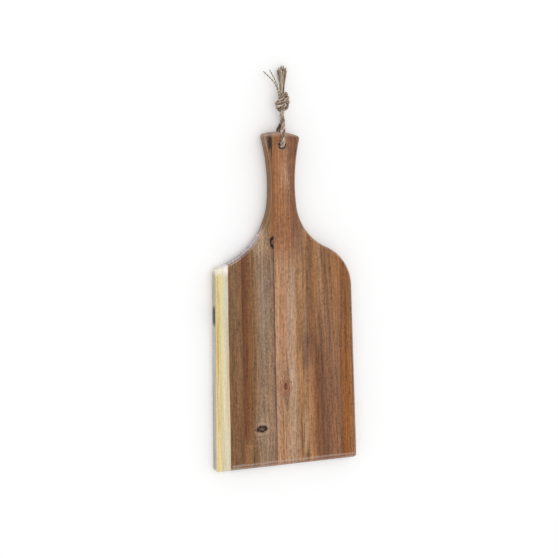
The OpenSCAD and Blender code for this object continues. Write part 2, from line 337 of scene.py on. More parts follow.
@dataclass(frozen=True)
class WoodFinish:
    """Oiled acacia, planed and sanded: long streaks of heartwood colour, fine open pores, a satin skin.

    The colour follows the growth layers, which lean through the thickness of the stave. Stops are the colours
    across its lower and its upper part, by their x, from its left side to its right. Over the stretch of y
    called blend, the lower colours give way to the upper ones.
    """

    name: str
    lower: Stops
    upper: Stops
    blend: tuple[float, float]
    lean: float
    seed: float
    slant: float = 0.0
    drift: float = 5.0
    grain: float = 2.3
    bands: float = 1.0
    # Painted highlight along the eased edges: how strong it is, and its colour
    rim_highlight: float = 0.35
    rim_highlight_colour: str = "c4ada0"
    figure: float = 0.0
    sap_edge: Optional[float] = None
    veins: float = 0.3
    vein: str = "3f2619"
    knots: tuple[Knot, ...] = ()
    accents: tuple[Accent, ...] = ()

    def material(self, rest: "Rest") -> Material:
        """Make the finish.

        Args:
            rest: how the board lies, which turns the pattern with it.

        Returns:
            The material.
        """
        made, tree = new_material(self.name)
        place, (out_x, out_y, out_z) = self._where(tree, rest)
        x, y, z = place
        layer = self._layer(place)
        grown = (layer, y, z)
        broad = self._noise(BROAD, grown)
        grain = self._noise(STREAKS, grown) * 0.58 + self._noise(FLECKS, place) * 0.72 - 0.15
        pores = self._noise(PORES, place).ramp(0.56, 0.74)

        colour = self._across(layer, (y + (broad - 0.5) * 90).ramp(*self.blend))
        veins = self._noise(VEINS, grown).ramp(0.56, 0.72) * self.veins
        colour = self._over(colour, veins, self.vein)
        on_side = out_z.math("ABSOLUTE").ramp(0.5, 0.2) * out_x.ramp(-0.2, -0.5)
        covers = [(accent, self._patch(place, accent)) for accent in self.accents]
        covers = [(accent, cover * on_side if accent.on_side else cover) for accent, cover in covers]
        for accent, cover in covers:
            if not accent.over_grain:
                colour = self._over(colour, cover, accent.colour)
        for knot in self.knots:
            colour = self._knot(colour, x, y, knot)

        tone = (grain - 0.5) * self.grain + (self._noise(BANDS, grown) - 0.5) * self.bands - pores * 0.3
        if self.sap_edge is not None:
            # Sapwood is smoother than heartwood, with few dark pores
            tone = tone * (layer.ramp(self.sap_edge - 0.6, self.sap_edge + 0.6) * 0.7 + 0.3)
        tone = tone + (broad - 0.5) * 0.6 + 1.04 + (self._noise(FIGURE, grown) - 0.5) * self.figure
        # End grain soaks up more oil
        tone = tone * (out_y.math("ABSOLUTE").ramp(0.6, 0.97) * -0.12 + 1.0)
        # Warmer streaks have more red and less blue
        warm = self._noise(WARMTH, grown) - 0.5
        tint = add(tree, "ShaderNodeCombineXYZ", {0: warm * 0.4 + 1.0, 1: 1.0, 2: warm * -0.8 + 1.0})
        colour = add(tree, "ShaderNodeVectorMath", {0: colour, 1: tint}, operation="MULTIPLY")
        colour = add(tree, "ShaderNodeVectorMath", {0: colour, "Scale": tone}, operation="SCALE")
        # Painted highlight: the eased edges are painted paler, where the satin skin would catch the light
        eased = out_z.ramp(0.55, 0.8) * out_z.ramp(0.995, 0.93)
        rim_highlight = eased * (grain.ramp(0.3, 0.6) * 0.5 + 0.5) * self.rim_highlight
        colour = self._over(colour, rim_highlight, self.rim_highlight_colour)
        for accent, cover in covers:
            if accent.over_grain:
                colour = self._over(colour, cover, accent.colour)

        # Open pores are about 0.05 mm deep
        relief = {"Height": grain * 0.4 - pores, "Strength": 0.35, "Distance": 0.05 * MM}
        rough = (grain - 0.5) * 0.12 + pores * 0.1 + 0.46
        look = {"Base Color": colour, "Roughness": rough, "Normal": add(tree, "ShaderNodeBump", relief)}
        look |= {"IOR": 1.48, "Specular IOR Level": 0.25}
        add(tree, "ShaderNodeOutputMaterial", {"Surface": add(tree, "ShaderNodeBsdfPrincipled", look)})
        return made

    @staticmethod
    def _where(tree: NodeTree, rest: "Rest") -> list[list[Flow]]:
        """Read where a point lies on the flat board, and which way the surface faces there.

        Args:
            tree: the material's tree.
            rest: how the board lies.

        Returns:
            The place in millimetres and the direction, by their three parts.
        """
        here = add(tree, "ShaderNodeTexCoord").outputs["Object"]
        lie = {"Location": rest.place((0, 0, 0)), "Rotation": (rest.tilt, 0, 0), "Scale": (MM,) * 3}
        flat = add(tree, "ShaderNodeMapping", {"Vector": here, **lie}, vector_type="TEXTURE")
        out = {"Vector": add(tree, "ShaderNodeNewGeometry").outputs["Normal"], "Angle": -rest.tilt}
        facing = add(tree, "ShaderNodeVectorRotate", out, rotation_type="X_AXIS")
        parts = [add(tree, "ShaderNodeSeparateXYZ", {0: node}).outputs for node in (flat, facing)]
        return [[Flow(tree, socket) for socket in three] for three in parts]

    def _noise(self, feature: Feature, place: Place) -> Flow:
        """Read one feature of the wood.

        Args:
            feature: the feature.
            place: where to read it, in millimetres.

        Returns:
            A smooth noise, about 0.5 on average.
        """
        tree = place[0].tree
        sizes = (feature.across, feature.along, feature.through)
        scaled = {k: part / size for k, (part, size) in enumerate(zip(place, sizes))}
        at = add(tree, "ShaderNodeCombineXYZ", scaled)
        shift = (self.seed, feature.shift, self.seed + feature.shift)
        moved = add(tree, "ShaderNodeVectorMath", {0: at, 1: shift}, operation="ADD")
        noise = add(tree, "ShaderNodeTexNoise", {"Vector": moved, "Scale": 1.0, "Detail": feature.detail})
        return Flow(tree, noise.outputs[0])

    def _layer(self, place: Place) -> Flow:
        """Place across the growth layers, which drift, lean and bend round the knots.

        Args:
            place: where on the board.

        Returns:
            The place, in millimetres.
        """
        x, y, z = place
        drift = (self._noise(DRIFT, place) - 0.5) * self.drift
        waver = (self._noise(WAVER, place) - 0.5) * 1.8
        layer = x + (y - GIVEN_Y) * self.slant + (z - GIVEN_Z) * self.lean + drift + waver
        for knot in self.knots:
            layer = layer - self._bend(x, y, knot)
        return layer

    def _across(self, layer: Flow, height: Flow) -> Socket:
        """Colour of the plain wood.

        Args:
            layer: place across the growth layers.
            height: 0 on the lower part of the stave, 1 on its upper part.

        Returns:
            The colour.
        """
        left = self.lower[0][0]
        width = self.lower[-1][0] - left
        share = (layer - left) / width
        mixed: Inputs = {0: height}
        for key, stops in ((6, self.lower), (7, self.upper)):
            shares = [((at - left) / width, code) for at, code in stops]
            mixed[key] = add(layer.tree, "ShaderNodeValToRGB", {0: share}, stops=shares)
        return add(layer.tree, "ShaderNodeMix", mixed, data_type="RGBA").outputs[2]

    def _over(self, colour: Source, much: Flow, code: str) -> Socket:
        """Lay one colour over another, by a share from 0 to 1."""
        mixed = {0: much, 6: colour, 7: linear(code)}
        return add(much.tree, "ShaderNodeMix", mixed, data_type="RGBA").outputs[2]

    def _distance(self, x: Flow, y: Flow, knot: Knot, wide: float, high: float) -> Flow:
        """Square of the distance from a knot, in its own widths and heights."""
        return ((x - knot.x) / wide).math("POWER", 2.0) + ((y - knot.y) / high).math("POWER", 2.0)

    def _bend(self, x: Flow, y: Flow, knot: Knot) -> Flow:
        """How far a knot pushes the growth layers aside.

        Args:
            x: place across the board.
            y: place along the board.
            knot: the knot.

        Returns:
            The distance, in millimetres.
        """
        aside = x - knot.x
        near = self._distance(x, y, knot, knot.halo_wide * 1.3, knot.halo_wide * 2.6) * -1.0
        return aside / (aside.math("ABSOLUTE") + 3.0) * near.math("EXPONENT") * knot.push

    def _knot(self, colour: Source, x: Flow, y: Flow, knot: Knot) -> Socket:
        """Draw one knot over the wood.

        Args:
            colour: the wood so far.
            x: place across the board.
            y: place along the board.
            knot: the knot.

        Returns:
            The wood with the knot.
        """
        rough = self._noise(Feature(3.2, 3.2, 9, 2.0, knot.y), (x, y, x)) - 0.5
        apart = self._distance(x, y, knot, knot.wide, knot.high).math("SQRT") + rough * 1.3
        halo = self._distance(x, y, knot, knot.halo_wide, knot.halo_wide * 1.25).math("SQRT") + rough * 0.6
        rings = (apart * 4.2).math("SINE") * 0.5 + 0.5
        colour = self._over(colour, halo.ramp(1.15, 0.5) * rings * knot.strength, knot.halo)
        colour = self._over(colour, apart.ramp(1.35, 0.95) * knot.strength, knot.ring)
        return self._over(colour, apart.ramp(0.62, 0.36) * knot.strength, knot.heart)

    def _patch(self, place: Place, accent: Accent) -> Flow:
        """How strongly an accent covers a place.

        Args:
            place: where on the board.
            accent: the patch.

        Returns:
            The cover, from 0 to 1.
        """
        waver = self._noise(Feature(11, 34, 11, 2.0, accent.y[0]), place) - 0.5
        sides = ((accent.x, accent.soft_x, 3.2), (accent.y, accent.soft_y, 2.0))
        shares = []
        for part, ((low, high), soft, wander) in zip(place, sides):
            bent = part + waver * (wander * soft)
            shares += [bent.ramp(low - soft, low + soft), bent.ramp(high + soft, high - soft)]
        if accent.streak > 0:
            streaks = self._noise(Feature(accent.streak, 70, 8, 3.0, accent.x[0]), place)
            shares.append(streaks.ramp(0.42, 0.64))
        cover = shares[0]
        for share in shares[1:]:
            cover = cover * share
        return cover * accent.strength


@dataclass(frozen=True)
class GlueFinish:
    """Cured wood glue, squeezed out and sanded flush: a thin line a little darker than the wood."""

    name: str = "cured wood glue"
    colour: str = "5a3a26"
    pale: str = "7c563b"

    def material(self) -> Material:
        """Make the finish.

        Returns:
            The material.
        """
        made, tree = new_material(self.name)
        here = add(tree, "ShaderNodeTexCoord").outputs["Object"]
        # The line pales and darkens every 20 mm or so, where the joint is tighter or more open
        noise = add(tree, "ShaderNodeTexNoise", {"Vector": here, "Scale": 1 / (20 * MM), "Detail": 3.0})
        stops = [(0.35, self.colour), (0.65, self.pale)]
        colour = add(tree, "ShaderNodeValToRGB", {0: noise}, stops=stops)
        rough = Flow(tree, noise.outputs[0]) * 0.2 + 0.35
        look = {"Base Color": colour, "Roughness": rough, "IOR": 1.47}
        add(tree, "ShaderNodeOutputMaterial", {"Surface": add(tree, "ShaderNodeBsdfPrincipled", look)})
        return made


@dataclass(frozen=True)
class JuteFinish:
    """Natural jute: dull beige bast fibres, twisted into yarns that differ a little in tone."""

    name: str
    dark: str
    middle: str
    light: str
    fibre: float = 0.35
    spread: float = 0.3

    def material(self) -> Material:
        """Make the finish.

        Returns:
            The material.
        """
        made, tree = new_material(self.name)
        here = add(tree, "ShaderNodeTexCoord").outputs["Object"]
        length, around, tint, strand, depth = (
            Flow(tree, add(tree, "ShaderNodeAttribute", attribute_name=name).outputs["Fac"])
            for name in ("along", "around", "tint", "strand", "depth")
        )
        along = length / MM
        # Fibres wind once round a yarn in about 7 mm
        wound = {0: around * 6.0 + along / 1.2, 1: along / 9.0, 2: tint * 40.0}
        at = add(tree, "ShaderNodeCombineXYZ", wound)
        fibres, blotch = (
            Flow(tree, add(tree, "ShaderNodeTexNoise", read).outputs[0])
            for read in (
                {"Vector": at, "Scale": 1.6, "Detail": 3.0},
                {"Vector": here, "Scale": 1 / (7 * MM), "Detail": 2.0},
            )
        )
        tone = fibres * 0.6 + (tint - 0.5) * self.spread + strand * 0.42 + blotch * 0.3 - 0.09
        stops = [(0.22, self.dark), (0.5, self.middle), (0.8, self.light)]
        colour = add(tree, "ShaderNodeValToRGB", {0: tone}, stops=stops)
        # Dust and shade in the grooves between strands draw the twist
        shade = depth.ramp(0.3, 0.75) * -0.8 + 1.0
        colour = add(tree, "ShaderNodeVectorMath", {0: colour, "Scale": shade}, operation="SCALE")
        bump = add(tree, "ShaderNodeBump", {"Height": fibres, "Strength": 0.6, "Distance": self.fibre * MM})
        look = {"Base Color": colour, "Roughness": 0.88, "Normal": bump, "Specular IOR Level": 0.2}
        look |= {"Sheen Weight": 0.25, "Sheen Roughness": 0.6}
        add(tree, "ShaderNodeOutputMaterial", {"Surface": add(tree, "ShaderNodeBsdfPrincipled", look)})
        return made


@dataclass(frozen=True)
class Rest:
    """How the flat board lies on the table: tilted about its lower end onto the rope under its handle."""

    length: float
    pivot_y: float
    tilt: float

    def matrix(self) -> Matrix:
        """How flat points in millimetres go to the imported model's frame in metres.

        Returns:
            The matrix.
        """
        back = Matrix.Translation((0, self.pivot_y - self.length / 2, 0))
        turn = Matrix.Rotation(self.tilt, 4, "X")
        return Matrix.Scale(MM, 4) @ back @ turn @ Matrix.Translation((0, -self.pivot_y, 0))

    def place(self, point: Sequence[float]) -> Vector:
        """Put one flat point where it lies."""
        return self.matrix() @ Vector(point)

    def ring(self, points: Sequence[tuple[float, float]], z: float) -> list[Vector]:
        """Put flat points of one height where they lie."""
        matrix = self.matrix()
        return [matrix @ Vector((x, y, z)) for x, y in points]


def make_piece(mesh: Mesh, finish: Material, body: Body, slot: str, node: str) -> bpy.types.Object:
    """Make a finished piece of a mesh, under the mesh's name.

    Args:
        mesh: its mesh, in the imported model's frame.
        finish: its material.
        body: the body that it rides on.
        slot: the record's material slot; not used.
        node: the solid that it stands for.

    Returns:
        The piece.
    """
    piece = put(mesh.name, mesh)
    mesh.materials.clear()
    mesh.materials.append(finish)
    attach(piece, body.value)
    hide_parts(node)
    log.info("%s: %d faces on %s", piece.name, len(mesh.polygons), body.value)
    return piece


@dataclass
class Board:
    """The glued board: outline, staves and glue lines.

    The round-over meets the faces at meet_angle, with a flat rim of width support beside it. Along the lower
    end it is deeper by end_ease, which fades out at end_ease_y.
    """

    length: float = 457
    width: float = 206
    thick: float = 16
    edge_r: float = 3
    corner_r: float = 4
    left_corner_from_end: float = 179
    left_taper: float = 1.1
    left_sweep_r: float = 98
    right_taper: float = 1.2
    right_round_from_end: float = 214
    right_round_r: float = 62.5
    right_sweep_r: float = 75
    neck_w: float = 35.6
    handle_end_w: float = 53
    neck_from_end: float = 71
    end_r: float = 75
    end_skew: float = -7
    end_corner_r: float = 4
    hole_d: float = 10
    hole_inset: float = 17.5
    hole_bevel: float = 0.8
    hole_sides: int = 72
    sapwood_w: float = 41.5
    neck_strip_w: float = 3.3
    handle_stave_w: float = 47
    outer_w: float = 23.5
    glue_t: float = 0.2
    meet_angle: float = 10
    edge_step: float = 1.6
    edge_turn: float = 9
    round_steps: int = 8
    support: float = 0.9
    end_ease: float = 1.1
    end_ease_y: float = 14
    sharp_angle: float = 38

    def __post_init__(self) -> None:
        """Work out the outline, the hole's place and the joints' places."""
        self.edges = self._outline()
        self.names = list(self.edges)
        turn = math.radians(self.meet_angle)
        self.edge_in = self.edge_r * math.cos(turn)
        self.flat_from = self.edge_in - self.edge_r * math.sin(turn)
        self.hole_y = self.length - self.hole_inset
        handle_left = self.neck_strip_w - self.neck_w / 2
        handle_right = handle_left + self.handle_stave_w
        half = self.width / 2
        self.joints = (self.sapwood_w - half, handle_left, handle_right, half - self.outer_w)

    @staticmethod
    def _meet(a: Vector, ra: float, b: Vector, rb: float, side: int) -> Vector:
        """Point at given distances from two others.

        Args:
            a: one point.
            ra: the distance from it.
            b: the other point.
            rb: the distance from that.
            side: 1 to the left of the way from a to b, -1 to its right.

        Returns:
            The point.
        """
        way = b - a
        gap = way.length
        way = way / gap
        run = (gap * gap + ra * ra - rb * rb) / (2 * gap)
        return a + way * run + Vector((-way.y, way.x)) * (side * math.sqrt(ra * ra - run * run))

    def _outline(self) -> dict[str, Edge]:
        """Work out the edges of the outline, counterclockwise from the lower end.

        Returns:
            Each edge by its name, in order.
        """
        half = self.width / 2
        left_lean = math.radians(self.left_taper)
        right_lean = math.radians(self.right_taper)
        left_up = Vector((math.sin(left_lean), math.cos(left_lean)))
        right_up = Vector((-math.sin(right_lean), math.cos(right_lean)))
        right_run = self.corner_r / math.tan(math.radians(90 - self.right_taper) / 2)
        left_run = self.corner_r / math.tan(math.radians(90 - self.left_taper) / 2)
        rise = Vector((0, self.corner_r))
        right_a = Vector((half - right_run, 0))
        left_b = Vector((left_run - half, 0))
        left_corner_y = self.length - self.left_corner_from_end
        left_corner = Vector((-half, 0)) + left_up * (left_corner_y / math.cos(left_lean))
        neck_y = self.length - self.neck_from_end
        end_c = Vector((self.end_skew, self.length - self.end_r))
        end_y = end_c.y + math.sqrt(self.end_r**2 - (self.handle_end_w / 2) ** 2)
        flare = (self.handle_end_w - self.neck_w) / 2
        side_r = (flare**2 + (end_y - neck_y) ** 2) / (2 * flare)
        right_side_c = Vector((self.neck_w / 2 + side_r, neck_y))
        left_side_c = Vector((-self.neck_w / 2 - side_r, neck_y))
        small = self.end_corner_r
        right_end_c = self._meet(end_c, self.end_r - small, right_side_c, side_r + small, 1)
        left_end_c = self._meet(end_c, self.end_r - small, left_side_c, side_r + small, -1)
        round_y = self.length - self.right_round_from_end
        round_a = Vector((half, 0)) + right_up * (round_y / math.cos(right_lean))
        round_c = round_a + Vector((-right_up.y, right_up.x)) * self.right_round_r
        reach = self.right_round_r + self.right_sweep_r
        right_sweep_c = self._meet(right_side_c, side_r - self.right_sweep_r, round_c, reach, -1)
        left_sweep_c = self._meet(left_side_c, side_r - self.left_sweep_r, left_corner, self.left_sweep_r, 1)

        def toward(centre: Vector, radius: float, point: Vector) -> Vector:
            """Point of a circle that lies toward another point."""
            return centre + (point - centre).normalized() * radius

        none = Vector((0, 0))
        return {
            "lower_end": Edge(left_b, none, 0),
            "right_low": Edge(right_a, right_a + rise, self.corner_r),
            "right_straight": Edge(Vector((half, 0)) + right_up * right_run, none, 0),
            "right_round": Edge(round_a, round_c, self.right_round_r),
            "right_sweep": Edge(
                toward(round_c, self.right_round_r, right_sweep_c), right_sweep_c, -self.right_sweep_r
            ),
            "right_side": Edge(toward(right_side_c, side_r, right_sweep_c), right_side_c, -side_r),
            "right_end": Edge(toward(right_side_c, side_r, right_end_c), right_end_c, small),
            "top_end": Edge(toward(end_c, self.end_r, right_end_c), end_c, self.end_r),
            "left_end": Edge(toward(end_c, self.end_r, left_end_c), left_end_c, small),
            "left_side": Edge(toward(left_side_c, side_r, left_end_c), left_side_c, -side_r),
            "left_sweep": Edge(toward(left_side_c, side_r, left_sweep_c), left_sweep_c, -self.left_sweep_r),
            "left_straight": Edge(left_corner, none, 0),
            "left_low": Edge(Vector((-half, 0)) + left_up * left_run, left_b + rise, self.corner_r),
        }

    def joint(self, number: int, side: int) -> float:
        """The x of one face of a glue joint, on its left (-1) or its right (1)."""
        return self.joints[number - 1] + side * self.glue_t / 2

    def _edge(self, number: int) -> Edge:
        """An edge by its number, counted round and round."""
        return self.edges[self.names[number % len(self.names)]]

    def _into_wood(self, number: int, point: Vector) -> Vector:
        """Direction from an edge into the wood.

        Args:
            number: the edge.
            point: a point on it.

        Returns:
            The direction, of length 1.
        """
        edge = self._edge(number)
        if edge.radius == 0:
            way = (self._edge(number + 1).start - edge.start).normalized()
            return Vector((-way.y, way.x))
        return (edge.centre - point) / edge.radius

    def _start_at(self, number: int, inset: float) -> Vector:
        """Where an edge starts once the outline is moved inward.

        Args:
            number: the edge.
            inset: how far the outline is moved.

        Returns:
            The point.
        """
        point = self._edge(number).start
        before = self._into_wood(number - 1, point)
        after = self._into_wood(number, point)
        return point + (before + after) * (inset / (1 + before.dot(after)))

    def _angles(
        self, number: int, inset: float, from_x: Optional[float], to_x: Optional[float]
    ) -> tuple[float, float]:
        """Where a curved edge starts about its centre, and how far it turns.

        Args:
            number: the edge.
            inset: how far the outline is moved inward.
            from_x: where the edge is cut at its start, if it is.
            to_x: where it is cut at its end, if it is.

        Returns:
            The first angle and the turn, in radians.
        """
        edge = self._edge(number)
        radius = abs(edge.radius - inset)
        ends = []
        for step, cut in ((0, from_x), (1, to_x)):
            if cut is None:
                out = self._start_at(number + step, inset) - edge.centre
                ends.append(math.atan2(out.y, out.x))
            else:
                ends.append(math.copysign(math.acos((cut - edge.centre.x) / radius), edge.radius))
        whole = 2 * math.pi
        if edge.radius > 0:
            return ends[0], (ends[1] - ends[0]) % whole
        return ends[0], -((ends[0] - ends[1]) % whole)

    def _line(self, run: Run, inset: float) -> list[tuple[float, float]]:
        """Points along a run of the outline moved inward.

        Args:
            run: the edges and where they are cut.
            inset: how far the outline is moved inward.

        Returns:
            The points, as many for every inset.
        """
        points: list[tuple[float, float]] = []
        last = len(run.names) - 1
        for k, name in enumerate(run.names):
            number = self.names.index(name)
            edge = self._edge(number)
            from_x = run.from_x if k == 0 else None
            to_x = run.to_x if k == last else None
            if edge.radius == 0:
                start = self._start_at(number, inset)
                points.append((start.x if from_x is None else from_x, start.y))
                if to_x is not None:
                    points.append((to_x, start.y))
                continue
            turn = abs(self._angles(number, 0, from_x, to_x)[1])
            most = math.radians(self.edge_turn)
            steps = math.ceil(max(turn * abs(edge.radius) / self.edge_step, turn / most))
            first, turn = self._angles(number, inset, from_x, to_x)
            radius = abs(edge.radius - inset)
            for j in range(steps + (1 if to_x is not None else 0)):
                at = first + turn * j / steps
                points.append((edge.centre.x + radius * math.cos(at), edge.centre.y + radius * math.sin(at)))
        return points

    def _strip(self, name: str, runs: Sequence[Run], rest: Rest) -> Mesh:
        """Build a piece of the board inside its runs, square at the joints and rounded along the outline.

        Args:
            name: the mesh's name.
            runs: the parts of the outline round it.
            rest: how the board lies.

        Returns:
            The mesh.
        """
        first = math.radians(self.meet_angle)
        turn = math.pi / 2 - 2 * first
        quarter = [first + turn * k / self.round_steps for k in range(self.round_steps + 1)]
        middle, r = self.edge_in, self.edge_r
        lower = [(middle - r * math.sin(a), middle - r * math.cos(a)) for a in quarter]
        lower.insert(0, (lower[0][0] + self.support, 0.0))
        rings = []
        for inset, z in lower + [(inset, self.thick - z) for inset, z in reversed(lower)]:
            flat = [p for run in runs for p in self._line(run, inset)]
            ease = inset * self.end_ease
            rings.append(rest.ring([(x, y + ease * max(0.0, 1 - y / self.end_ease_y)) for x, y in flat], z))
        return skin(name, rings)

    def _between(self, name: str, left: float, right: float, upper: tuple[str, ...], rest: Rest) -> Mesh:
        """Build a piece between two joints, below the named edges of the shoulders and handle."""
        return self._strip(name, (Run(("lower_end",), left, right), Run(upper, right, left)), rest)

    def _drill(self, mesh: Mesh, rest: Rest) -> Mesh:
        """Drill the rope hole, with its mouths eased.

        Args:
            mesh: the stave to drill.
            rest: how the board lies.

        Returns:
            The drilled mesh.
        """
        hole = self.hole_d / 2
        # The cutter reaches this far past each face
        past = 3.0
        # Depth below the mouth, and how far the hole is wider there
        eased = [(0.0, self.hole_bevel), (0.2, 0.42), (0.45, 0.17), (0.8, 0.0)]
        wall = [(hole + self.hole_bevel + past, -past)] + [(hole + out, depth) for depth, out in eased]
        wall = wall + [(r, self.thick - z) for r, z in reversed(wall)]
        turns = [2 * math.pi * k / self.hole_sides for k in range(self.hole_sides)]
        rings = []
        for r, z in wall:
            rings.append(rest.ring([(r * math.cos(t), self.hole_y + r * math.sin(t)) for t in turns], z))
        tool = put("hole cutter", skin("hole cutter", rings))
        blank = put("undrilled stave", mesh)
        cut = blank.modifiers.new("rope hole", "BOOLEAN")
        cut.operation = "DIFFERENCE"
        cut.object = tool
        cut.solver = "EXACT"
        drilled = applied(blank, mesh.name)
        bpy.data.meshes.remove(tool.data)
        return drilled

    def _dress(self, mesh: Mesh, finish: Material, slot: str, node: str) -> None:
        """Shade a mesh smooth, with its true corners kept, and make it a piece of the board.

        Args:
            mesh: the mesh.
            finish: its material.
            slot: the record's material slot.
            node: the solid that it stands for.
        """
        mesh.polygons.foreach_set("use_smooth", [True] * len(mesh.polygons))
        mesh.set_sharp_from_angle(angle=math.radians(self.sharp_angle))
        make_piece(mesh, finish, Body.BOARD, slot, node)

    def build(self, rest: Rest) -> None:
        """Build and dress the staves and glue lines.

        Args:
            rest: how the board lies.
        """
        left, right = self.joint(1, -1), self.joint(4, 1)
        shoulder = Run(("left_sweep", "left_straight", "left_low", "lower_end"), left, left)
        outer = Run(("lower_end", "right_low", "right_straight", "right_round"), right, right)
        middle = {
            "knot_stave": ("top_end", "left_end", "left_side", "left_sweep"),
            "handle_stave": ("right_sweep", "right_side", "right_end", "top_end"),
            "right_stave": ("right_round", "right_sweep"),
        }
        staves = {"sapwood_stave": self._strip("sapwood_stave_wood", [shoulder], rest)}
        for number, (node, upper) in enumerate(middle.items(), 1):
            sides = self.joint(number, 1), self.joint(number + 1, -1)
            staves[node] = self._between(f"{node}_wood", *sides, upper, rest)
        staves["handle_stave"] = self._drill(staves["handle_stave"], rest)
        staves["outer_stave"] = self._strip("outer_stave_wood", [outer], rest)
        for node, mesh in staves.items():
            self._dress(mesh, WOODS[node].material(rest), node, node)
        glue = GlueFinish().material()
        for number, edge in enumerate(("left_sweep", "top_end", "right_sweep", "right_round"), 1):
            sides = self.joint(number, -1), self.joint(number, 1)
            mesh = self._between(f"glue_film_{number}", *sides, (edge,), rest)
            self._dress(mesh, glue, "glue", f"glue_line_{number}")


def smooth_route(route: Sequence[Sequence[float]], steps: int) -> list[Vector]:
    """Smooth line along a route: it touches each leg at its middle, so straight stretches stay straight.

    Args:
        route: corner points.
        steps: points for each corner.

    Returns:
        The line, from the first point to the last.
    """
    corners = [Vector(p) for p in route]
    line = [corners[0]]
    for before, at, after in zip(corners, corners[1:], corners[2:]):
        start, end = (before + at) / 2, (at + after) / 2
        for k in range(steps):
            t = k / steps
            line.append(start * (1 - t) ** 2 + at * (2 * t * (1 - t)) + end * t**2)
    return line + [(corners[-2] + corners[-1]) / 2, corners[-1]]


def line_length(line: Sequence[Vector]) -> float:
    """Length along a line of points."""
    return sum((b - a).length for a, b in zip(line, line[1:]))


@dataclass
class Tree:
    """A Geometry Nodes tree with named inputs, which turns lines of points into a plain mesh.

    The inputs are the sizes, counts and seeds with their first values; the yarns' material is one more.
    """

    name: str
    inputs: dict[str, Union[int, float]]

    def __post_init__(self) -> None:
        """Start the tree with its inputs and its output."""
        self.tree = bpy.data.node_groups.new(self.name, "GeometryNodeTree")
        face = self.tree.interface
        face.new_socket("Path", in_out="INPUT", socket_type="NodeSocketGeometry")
        self.sockets = {}
        for label, value in self.inputs.items():
            kind = "NodeSocketInt" if isinstance(value, int) else "NodeSocketFloat"
            socket = face.new_socket(label, in_out="INPUT", socket_type=kind)
            socket.default_value = value
            self.sockets[label] = socket.identifier
        finish = face.new_socket("Finish", in_out="INPUT", socket_type="NodeSocketMaterial")
        self.sockets["Finish"] = finish.identifier
        face.new_socket("Mesh", in_out="OUTPUT", socket_type="NodeSocketGeometry")
        self.start = self.tree.nodes.new("NodeGroupInput")

    def given(self, label: str) -> Flow:
        """A named input of the tree."""
        return Flow(self.tree, self.start.outputs[label])

    def add(self, kind: str, inputs: Optional[Inputs] = None, **settings: Any) -> Node:
        """Add one node to this tree."""
        return add(self.tree, kind, inputs, **settings)

    def aside(self, out: Flow, over: Flow) -> Node:
        """Offset from a curve's own line.

        Args:
            out: how far along the curve's normal.
            over: how far square to that.

        Returns:
            The offset.
        """
        normal = self.add("GeometryNodeInputNormal")
        tangent = self.add("GeometryNodeInputTangent")
        side = self.add("ShaderNodeVectorMath", {0: tangent, 1: normal}, operation="CROSS_PRODUCT")
        parts = [
            self.add("ShaderNodeVectorMath", {0: way, "Scale": far}, operation="SCALE")
            for way, far in ((normal, out), (side, over))
        ]
        return self.add("ShaderNodeVectorMath", dict(enumerate(parts)), operation="ADD")

    def lay(self, curves: Source, count: str, offset: str, pitch: str) -> tuple[Node, Flow]:
        """Wind copies of curves round themselves, as strands are laid into rope.

        Args:
            curves: the curves to wind.
            count: the input that says how many copies of each.
            offset: the input that says how far each lies from the middle.
            pitch: the input with the length of one turn, below zero for the other hand.

        Returns:
            The wound curves, and the number of each copy from 0 to less than 1.
        """
        copied = {"Geometry": curves, "Amount": self.given(count)}
        copies = self.add("GeometryNodeDuplicateElements", copied, domain="SPLINE")
        place = Flow(self.tree, self.add("GeometryNodeSplineParameter").outputs["Length"])
        share = Flow(self.tree, copies.outputs["Duplicate Index"]) / self.given(count)
        turn = (place / self.given(pitch) + share) * (2 * math.pi)
        moved = self.aside(turn.math("COSINE") * self.given(offset), turn.math("SINE") * self.given(offset))
        return self.add("GeometryNodeSetPosition", {"Geometry": copies, "Offset": moved}), share

    def end(self, curves: Source, sides: int, seed: int) -> None:
        """Finish the tree: yarns with a round section, noted for the finish, smooth and with their material.

        Args:
            curves: the yarns.
            sides: sides of a yarn's section.
            seed: seed of the yarns' tones.
        """
        place = self.add("GeometryNodeSplineParameter")
        tone = self.add("FunctionNodeRandomValue", {"Seed": seed}, data_type="FLOAT")
        noted = {"Geometry": curves, "Name": "tint", "Value": tone.outputs[1]}
        curves = self.add("GeometryNodeStoreNamedAttribute", noted, domain="CURVE")
        noted = {"Geometry": curves, "Name": "along", "Value": place.outputs["Length"]}
        curves = self.add("GeometryNodeStoreNamedAttribute", noted, domain="POINT")
        circle = {"Resolution": sides, "Radius": self.given("Yarn Radius")}
        section = self.add("GeometryNodeCurvePrimitiveCircle", circle)
        noted = {"Geometry": section, "Name": "around", "Value": place.outputs["Factor"]}
        section = self.add("GeometryNodeStoreNamedAttribute", noted, domain="POINT")
        swept = {"Curve": curves, "Profile Curve": section, "Fill Caps": True}
        mesh = self.add("GeometryNodeCurveToMesh", swept)
        shaded = self.add("GeometryNodeSetShadeSmooth", {"Geometry": mesh})
        plain = self.add("GeometryNodeRealizeInstances", {"Geometry": shaded})
        dressed = self.add("GeometryNodeSetMaterial", {"Geometry": plain, "Material": self.given("Finish")})
        self.add("NodeGroupOutput", {0: dressed})

    def run(self, name: str, lines: Sequence[Sequence[Vector]], values: dict[str, Any]) -> Mesh:
        """Run the tree along lines of points.

        Args:
            name: the mesh's name.
            lines: the points of each line, in metres.
            values: the tree's inputs by their names.

        Returns:
            The plain mesh.
        """
        verts: list[Vector] = []
        joins: list[tuple[int, int]] = []
        for line in lines:
            joins += [(len(verts) + k, len(verts) + k + 1) for k in range(len(line) - 1)]
            verts += list(line)
        base = bpy.data.meshes.new(name + "_line")
        base.from_pydata(verts, joins, [])
        holder = put(name + "_line", base)
        modifier = holder.modifiers.new(self.name, "NODES")
        modifier.node_group = self.tree
        for label, value in values.items():
            modifier[self.sockets[label]] = value
        return applied(holder, name)


